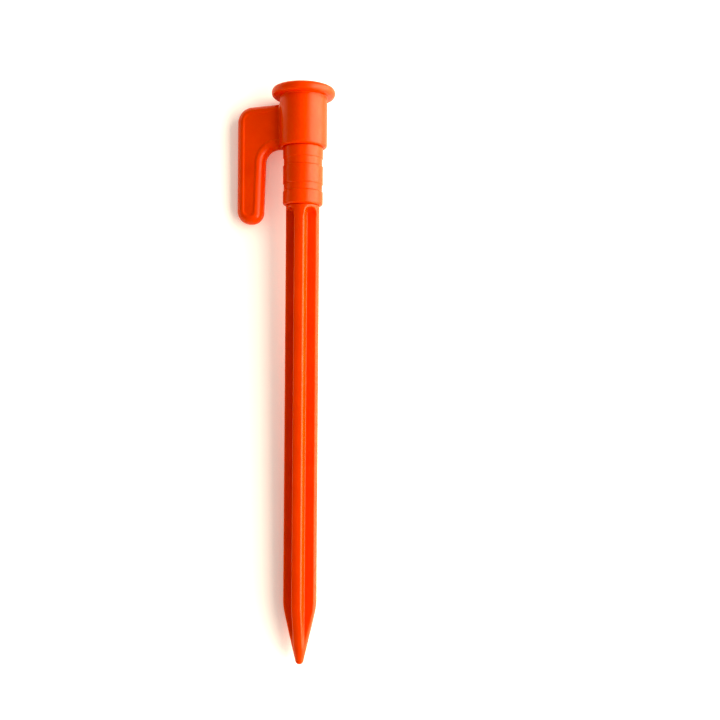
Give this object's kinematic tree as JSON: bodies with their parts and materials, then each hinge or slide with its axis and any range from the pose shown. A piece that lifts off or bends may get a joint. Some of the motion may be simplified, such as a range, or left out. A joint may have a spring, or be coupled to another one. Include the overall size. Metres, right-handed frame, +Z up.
{
  "type": "tent stake",
  "caption": "Moulded plastic ground stake with a round strike flange, a side hook for a guy line, a banded collar and a cross-ribbed shaft with a conical point.",
  "frame": {"origin": "on the stake's axis, level with the hook's lower end, where the soil surface is when the stake is driven home", "axes": "+Z up along the stake's axis to the strike face, point towards -Z, hook on the -X side, +Y square to the hook's flat face"},
  "size_m": [0.0516, 0.033, 0.3],
  "materials": {
    "head_plastic": "orange moulded plastic, satin gloss",
    "collar_plastic": "orange moulded plastic, satin gloss",
    "shaft_plastic": "orange moulded plastic, satin gloss"
  },
  "bodies": {
    "root": {"hook_head": "head_plastic", "neck_collar": "collar_plastic", "ribbed_shaft": "shaft_plastic"}
  },
  "joints": []
}
